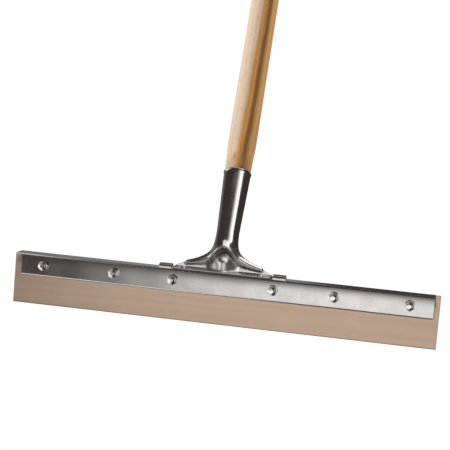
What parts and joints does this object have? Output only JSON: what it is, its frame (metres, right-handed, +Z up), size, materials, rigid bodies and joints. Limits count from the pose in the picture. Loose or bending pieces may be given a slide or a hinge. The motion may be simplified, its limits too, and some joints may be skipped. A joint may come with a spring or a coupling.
{
  "type": "floor squeegee",
  "caption": "Straight floor squeegee: a steel angle clamps a tan rubber blade with hex bolts, and a pressed-steel socket holds a long wooden handle that leans back.",
  "frame": {"origin": "middle of the rubber blade's flat working edge", "axes": "+X along the blade; -Y is the side with the nuts and the frame's flange; the handle leans back towards +Y; +Z up"},
  "size_m": [0.472, 0.6762, 1.3246],
  "materials": {
    "gum_rubber": "matt tan gum rubber, slightly chalky",
    "frame_steel": "zinc-plated sheet steel, satin, with fine rolling lines along the blade",
    "socket_steel": "bright plated pressed steel",
    "fastener_steel": "bright zinc-plated steel",
    "handle_wood": "clear-lacquered ash or oak with long open grain"
  },
  "bodies": {
    "root": {"rubber_blade": "gum_rubber", "frame_angle": "frame_steel", "backing_strip": "frame_steel", "socket": "socket_steel", "handle": "handle_wood", "clamp_bolt_1": "fastener_steel", "clamp_bolt_2": "fastener_steel", "clamp_bolt_3": "fastener_steel", "clamp_bolt_4": "fastener_steel", "clamp_bolt_5": "fastener_steel", "clamp_bolt_6": "fastener_steel", "clamp_nut_1": "fastener_steel", "clamp_nut_2": "fastener_steel", "clamp_nut_3": "fastener_steel", "clamp_nut_4": "fastener_steel", "clamp_nut_5": "fastener_steel", "clamp_nut_6": "fastener_steel", "clamp_washer_1": "fastener_steel", "clamp_washer_2": "fastener_steel", "clamp_washer_3": "fastener_steel", "clamp_washer_4": "fastener_steel", "clamp_washer_5": "fastener_steel", "clamp_washer_6": "fastener_steel", "foot_rivet_left": "fastener_steel", "foot_rivet_right": "fastener_steel", "handle_screw": "fastener_steel"}
  },
  "joints": []
}
